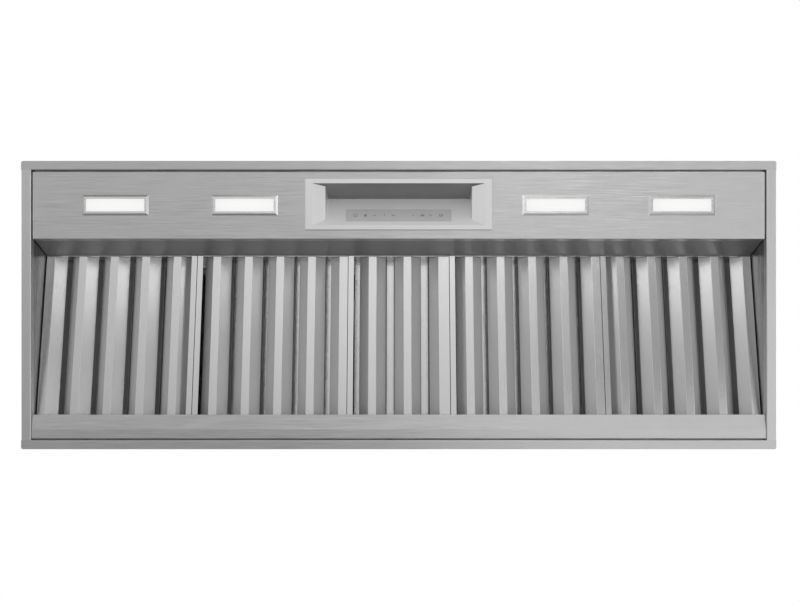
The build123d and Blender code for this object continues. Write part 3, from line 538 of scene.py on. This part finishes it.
# %% The fasteners' node tree
def fastener_tree():
    tree = bpy.data.node_groups.new("fasteners", "GeometryNodeTree")
    for name, kind in (
        ("Points", "NodeSocketGeometry"),
        ("Fastener", "NodeSocketObject"),
        ("Twist", "NodeSocketFloat"),
        ("Seed", "NodeSocketInt"),
        ("Finish", "NodeSocketMaterial"),
    ):
        tree.interface.new_socket(name, in_out="INPUT", socket_type=kind)
    tree.interface.new_socket("Fasteners", in_out="OUTPUT", socket_type="NodeSocketGeometry")

    def node(kind, settings=(), **links):
        made = tree.nodes.new(kind)
        for key, value in dict(settings).items():
            setattr(made, key, value)
        for key, value in links.items():
            target = made.inputs[key.replace("_", " ")]
            if isinstance(value, bpy.types.NodeSocket):
                tree.links.new(value, target)
            else:
                target.default_value = value
        return made

    given = tree.nodes.new("NodeGroupInput").outputs
    facing = node("GeometryNodeInputNamedAttribute", {"data_type": "FLOAT_VECTOR"}, Name="facing")
    aimed = node("FunctionNodeAlignRotationToVector", {"axis": "Z"}, Vector=facing.outputs[0])
    chance = node("FunctionNodeRandomValue", {"data_type": "FLOAT"}, Seed=given["Seed"])
    floats = [s for s in chance.inputs if s.type == "VALUE"]
    floats[0].default_value = 0.0
    tree.links.new(given["Twist"], floats[1])
    angle = next(s for s in chance.outputs if s.type == "VALUE")
    twist = node("FunctionNodeAxisAngleToRotation", Axis=(0, 0, 1), Angle=angle)
    twisted = node(
        "FunctionNodeRotateRotation",
        {"rotation_space": "LOCAL"},
        Rotation=aimed.outputs[0],
        Rotate_By=twist.outputs[0],
    )
    shape = node("GeometryNodeObjectInfo", Object=given["Fastener"])
    placed = node(
        "GeometryNodeInstanceOnPoints",
        Points=given["Points"],
        Instance=shape.outputs["Geometry"],
        Rotation=twisted.outputs[0],
    )
    real = node("GeometryNodeRealizeInstances", Geometry=placed.outputs[0])
    finished = node("GeometryNodeSetMaterial", Geometry=real.outputs[0], Material=given["Finish"])
    tree.links.new(finished.outputs[0], tree.nodes.new("NodeGroupOutput").inputs[0])
    return tree


fasteners = fastener_tree()
print("the tree has", len(fasteners.nodes), "nodes")

# %% [markdown]
# ## Setting a row
# A modifier's inputs are reached by the identifier of the socket, not by its name, and they are set
# before the modifier is first evaluated. The result is kept as a plain mesh.

# %% Rows of fasteners
def fasten(name, places, shape, finish, seed):
    """A piece with one fastener at each (place in millimetres, direction)."""
    mesh = bpy.data.meshes.new(name)
    mesh.from_pydata([[c * MM for c in place] for place, _ in places], [], [])
    facing = mesh.attributes.new("facing", "FLOAT_VECTOR", "POINT")
    for item, (_, direction) in zip(facing.data, places):
        item.vector = direction
    piece = bpy.data.objects.new(name, mesh)
    bpy.context.scene.collection.objects.link(piece)
    modifier = piece.modifiers.new("fasteners", "NODES")
    modifier.node_group = fasteners
    sockets = {s.name: s.identifier for s in fasteners.interface.items_tree if s.in_out == "INPUT"}
    inputs = {"Fastener": shape, "Twist": math.tau, "Seed": seed, "Finish": finish}
    for key, value in inputs.items():
        modifier[sockets[key]] = value
    result = evaluated_mesh(piece)
    piece.modifiers.clear()
    piece.data = result
    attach(piece, "shell")
    print(name, "has", len(places), "fasteners and", len(result.polygons), "faces")
    return piece


# %% [markdown]
# ## Where the fasteners go
# The places follow from the boxes of the solid pieces: screws half way down the lid's skirt, one at
# each end of the wiring box's cover, and rivets round the collar's flange and down the shell's four
# corners.

# %% Screws of the lid's skirt
SHEET = 1.2  # thickness of the shell's sheets
SCREW_DROP = 10.0  # below the lid's top
LONG_SIDE, SHORT_SIDE = 6, 2  # screws on each


def box_mm(name):
    return [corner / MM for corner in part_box(name)]


def spread(reach, count):
    """Places spread evenly from -reach to reach, half a step in from both ends."""
    return [-reach + (i + 0.5) * 2 * reach / count for i in range(count)]


low, high = box_mm("top_panel")
level = high.z - SCREW_DROP
skirt_places = []
for side in (-1, 1):
    for x in spread(high.x - 2 * SHEET, LONG_SIDE):
        skirt_places.append(((x, side * high.y, level), (0, side, 0)))
    for y in spread(high.y - 2 * SHEET, SHORT_SIDE):
        skirt_places.append(((side * high.x, y, level), (side, 0, 0)))
skirt_screws = fasten("skirt_screws", skirt_places, screw, zinc_plate, seed=3)
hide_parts("panel_screws")

# %% Screws of the wiring box's cover
COVER_INSET = 12.0  # from the cover's ends
low, high = box_mm("junction_box")
ends = (low.x + COVER_INSET, high.x - COVER_INSET)
cover_places = [((x, (low.y + high.y) / 2, high.z), (0, 0, 1)) for x in ends]
fasten("cover_screws", cover_places, screw, zinc_plate, seed=5)

# %% Rivets of the collar and of the shell's corners
COLLAR_RIVETS, COLLAR_INSET = 8, 8.5  # on the flange's ring, in from its edge
CORNER_HEIGHTS, CORNER_INSET = range(45, 266, 55), 9.0  # up each corner, in from its edge

low, high = box_mm("duct_collar")
middle, radius = (low + high) / 2, high.x - COLLAR_INSET
rivet_places = []
for i in range(COLLAR_RIVETS):
    turn = (i + 0.5) * math.tau / COLLAR_RIVETS
    x, y = middle.x + radius * math.cos(turn), middle.y + radius * math.sin(turn)
    rivet_places.append(((x, y, low.z + SHEET), (0, 0, 1)))
low, high = box_mm("front_panel")
for side in (-1, 1):
    for x in (low.x + CORNER_INSET, high.x - CORNER_INSET):
        for height in CORNER_HEIGHTS:
            rivet_places.append(((x, side * -low.y, height), (0, side, 0)))
fasten("shell_rivets", rivet_places, rivet, zinc_plate, seed=7)
for shape in (screw, rivet):
    bpy.data.objects.remove(shape)

# %% [markdown]
# ## The touch strip's signs
# A touch strip has no buttons, only small printed signs over its sensors. They are generic here: a
# broken ring for power, a lamp, bars and dots for less and more, a clock. Ink is a layer about a
# tenth of a millimetre thick, so each sign is a flat prism on the strip's own sloping face.

# %% Strokes
def round_the(u, v, radius, turns):
    """Points on a circle about (u, v)."""
    return [(u + radius * math.cos(t), v + radius * math.sin(t)) for t in turns]


def dot(u, v, radius):
    return round_the(u, v, radius, [i * math.tau / 16 for i in range(16)])


def arc(u, v, radius, width, start, end, steps=18):
    """A curved stroke between two angles, in degrees."""
    turns = [math.radians(start + (end - start) * i / steps) for i in range(steps + 1)]
    outer = round_the(u, v, radius + width / 2, turns)
    return outer + round_the(u, v, radius - width / 2, turns[::-1])


def bar(u, v, length, width, turn=0.0):
    """A straight stroke: its middle, its length and its width."""
    a, b = length / 2, width / 2
    c, s = math.cos(turn), math.sin(turn)
    return [(u + p * c - q * s, v + p * s + q * c) for p, q in ((-a, -b), (a, -b), (a, b), (-a, b))]


# %% [markdown]
# The strip's own plane is the drawing board: u runs along the strip and v towards its rear edge,
# both in millimetres from its middle. Each sign has its place on u.

# %% Signs
POWER, LAMP, LESS, COLON, ARROW, POINT, LEVELS, FAN, CLOCK = (
    -85.5, -65.7, -47.9, -28.1, -10.3, 28.3, 47.1, 62.9, 83.7
)
signs = [arc(POWER, 0, 3.6, 0.9, -60, 240), bar(POWER, -3.2, 0.9, 3.6)]
signs += [dot(LAMP, 0.6, 1.9), bar(LAMP, 3.6, 2.6, 0.8)]
RAYS = (-0.4, -1.0, -1.57, -2.14, -2.74)
signs += [bar(*round_the(LAMP, 0.6, 3.6, [turn])[0], 1.5, 0.7, turn) for turn in RAYS]
signs += [bar(LESS, 0, 6.0, 1.0), dot(COLON, -1.4, 0.8), dot(COLON, 1.4, 0.8)]
signs += [bar(ARROW - 1.5, 0, 4.4, 1.0, 0.7), bar(ARROW + 1.5, 0, 4.4, 1.0, -0.7)]
signs += [dot(POINT, 0, 1.1)] + [bar(LEVELS, v, 7.0 + 1.2 * v, 0.9) for v in (-1.8, 0.0, 1.8)]
signs += [arc(FAN, 0, 1.9, 1.3, blade - 35, blade + 35, 6) for blade in (0, 120, 240)]
signs += [arc(CLOCK, 0, 3.4, 0.9, -80, 255)]
signs += [bar(CLOCK, -1.3, 0.8, 2.6), bar(CLOCK + 1.3, 0, 2.6, 0.8)]
print("the strip carries", len(signs), "strokes")

# %% The strip's plane
INK_LEVELS = (-0.02, 0.10)  # millimetres: from just inside the strip to the ink's face
strip = nodes["touch_strip"].data
face = max((p for p in strip.polygons if p.normal.z < -0.5), key=lambda p: p.area)
outward = Vector(face.normal)
low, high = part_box("touch_strip")
across = Vector((0, -outward.z, outward.y))  # down the slope, to the rear
start = face.center - across * (face.center.y - (low.y + high.y) / 2) / across.y
start.x = 0


def on_strip(u, v, rise):
    return start + Vector((u, 0, 0)) * MM + across * v * MM + outward * rise * MM


print("the strip slopes by", round(math.degrees(math.acos(-outward.z)), 1), "degrees")

# %% Ink
ink = bmesh.new()
for outline in signs:
    base, top = ([ink.verts.new(on_strip(u, v, z)) for u, v in outline] for z in INK_LEVELS)
    ink.faces.new(base)
    ink.faces.new(top)
    for i in range(len(outline)):
        j = (i + 1) % len(outline)
        ink.faces.new([base[i], base[j], top[j], top[i]])
bmesh.ops.recalc_face_normals(ink, faces=ink.faces)
ink_mesh = bpy.data.meshes.new("touch_signs")
ink.to_mesh(ink_mesh)
ink.free()
ink_mesh.materials.append(touch_mark)
touch_signs = bpy.data.objects.new("touch_signs", ink_mesh)
bpy.context.scene.collection.objects.link(touch_signs)
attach(touch_signs, "shell")
print("touch_signs has", len(ink_mesh.polygons), "faces")

# %% [markdown]
# ## Light
# Metal has no colour of its own to show: it shows the room. So besides two soft lamps for the
# plain surfaces, the insert needs a room to mirror. It could be built from walls and windows, but
# a formula on the direction of the mirrored ray is easier to steer. Straight below is a pale
# worktop, which the sloping filters show. To the right is a window, so the right half is brighter,
# most of all towards the cook. Low to the sides the worktop ends, and the far rear is dim. The
# camera itself sees plain white, because Light Path tells its rays from the mirrored ones.

# %% The worktop and the low sides
def worktop(x, y, around):
    """Straight below: pale, darker at its left end and past its right one."""
    left_end = ramp(x, -0.1, -1.0)
    top = 0.98 - 1.6 * left_end * left_end - 0.52 * ramp(x, 0.24, 14.0)
    off_middle = (y + 0.23) * (y + 0.23)
    return blend((2.8 - 50.0 * off_middle).clamp(), around, top * (0.7 - 1.2 * y))


def low_sides(y, z, right, front, far_front):
    """Low to the left and right: bright towards the cook, dimmer further down."""
    forward = ramp(y, -0.08, -5.7)
    side = 0.66 + 2.4 * forward * forward * forward * (1 - 0.6 * far_front)
    past_window = ramp(y, -0.05, -12.0)
    lit = (0.60 + 0.60 * front) * (1 - 0.95 * past_window) - 0.35 * past_window
    return blend(ramp(z, -0.46, -8.0), side, 0.48 + 0.30 * front + right * lit)


# %% The room as a mirror sees it
def mirrored_room(x, y, z):
    """Brightness of the room in a direction: x to the right, y to the rear, z up."""
    right = ramp(x, 0.03, 9.0)  # the half that the window lights
    far_front = ramp(y, -0.42, -6.0)  # past the window's reach
    front = ramp(y, 0.04, -8.0) * (1 - 0.86 * far_front)
    around = 0.45 + 0.12 * front + right * (0.70 + 3.40 * front)
    sides = low_sides(y, z, right, front, far_front)
    low = blend(ramp(x * x, 0.2, 3.3), worktop(x, y, around), sides)
    level = blend(ramp(z, 0.0, -2.2), 0.28 + 0.40 * ramp(z, 0.0, 2.5), low)
    lamp_glow = 0.18 + 0.9 * (1 - 9.0 * (x - 0.08) * (x - 0.08)).clamp()
    rear = 1 - 0.60 * ramp(y, 0.35, 3.0)
    return blend(ramp(y, -0.6, -3.3), level, lamp_glow) * rear


# %% [markdown]
# ## The world
# The same sky has three jobs, which Light Path tells apart: it is white for the camera and behind
# clear parts, it is the formula for mirrored rays, and it is an even level for plain surfaces.

# %% World
ROOM_LEVEL = 0.66  # what the room gives to plain surfaces
world = bpy.data.worlds.new("room")
bpy.context.scene.world = world
room = Shader("room", world)
path = room.add("ShaderNodeLightPath", {}, {}, output=0)
glossy = room.add("ShaderNodeLightPath", {}, {}, output=3)
clear = room.add("ShaderNodeLightPath", {}, {}, output=6)
direction = room.add("ShaderNodeTexCoord", {}, {}, output=0)
mirrored = mirrored_room(*room.parts(direction))
plain = clear + (1 - clear) * ROOM_LEVEL
level = path + (1 - path) * (glossy * mirrored + (1 - glossy) * plain)
back = room.add("ShaderNodeBackground", {}, {0: grey(1.0), 1: level})
room.add("ShaderNodeOutputWorld", {}, {0: back})
print("the world has", len(room.tree.nodes), "nodes")

# %% [markdown]
# ## The floor
# A pale floor catches a soft shadow. Mirrored rays that meet it must see the same room as those
# that miss it, so its glow is the same formula on the direction from the insert to the floor. It
# lies low, so that a camera under the insert is still above it.

# %% Floor
FLOOR_DROP, FLOOR_SIZE = 3.2, 28.0  # metres below the flange, and along each side
CAMERA_WHITE = 0.92  # how much of the camera's floor is plain white; the rest shows the shadow
floor_mesh = bpy.data.meshes.new("floor")
half = FLOOR_SIZE / 2
corners = [(-half, -half), (half, -half), (half, half), (-half, half)]
floor_mesh.from_pydata([(x, y, -FLOOR_DROP) for x, y in corners], [], [(0, 1, 2, 3)])
floor = bpy.data.objects.new("floor", floor_mesh)
bpy.context.scene.collection.objects.link(floor)

pale = Shader("pale_floor")
where = pale.add("ShaderNodeTexCoord", {}, {}, output=3)
towards = pale.parts(pale.vector("NORMALIZE", {0: where}))
is_camera = pale.add("ShaderNodeLightPath", {}, {}, output=0)
is_glossy = pale.add("ShaderNodeLightPath", {}, {}, output=3)
strength = is_camera + (1 - is_camera) * mirrored_room(*towards)
glow = pale.add("ShaderNodeEmission", {}, {0: grey(1.0), 1: strength})
matt = pale.add("ShaderNodeBsdfDiffuse", {}, {0: grey(0.80)})
factor = (is_camera * CAMERA_WHITE + is_glossy).clamp()
surface = pale.add("ShaderNodeMixShader", {}, {0: factor, 1: matt, 2: glow})
pale.add("ShaderNodeOutputMaterial", {}, {0: surface})
floor_mesh.materials.append(pale.material)
print("the floor lies", FLOOR_DROP, "m below the flange")

# %% [markdown]
# ## Two soft lamps
# They hang high behind and high in front, for the shell and the duct collar, which are only seen
# from above. They are large, so that sheet metal mirrors them as a soft sheen and not as a white
# square.

# %% Lamps
LAMP_SIZE, LAMP_POWER = 3.2, 24  # metres, watts
AIM = Vector((0, 0, 0.2))


def softbox(name, place):
    lamp = bpy.data.lights.new(name, "AREA")
    lamp.shape, lamp.size, lamp.energy = "SQUARE", LAMP_SIZE, LAMP_POWER
    holder = bpy.data.objects.new(name, lamp)
    holder.location = place
    holder.rotation_euler = (AIM - Vector(place)).to_track_quat("-Z", "Y").to_euler()
    bpy.context.scene.collection.objects.link(holder)


softbox("high_back", (-1.6, 2.2, 2.4))
softbox("high_front", (1.8, -2.2, 2.6))
bpy.context.scene.view_settings.view_transform = "Standard"
print("lamps:", [light.name for light in bpy.data.lights])
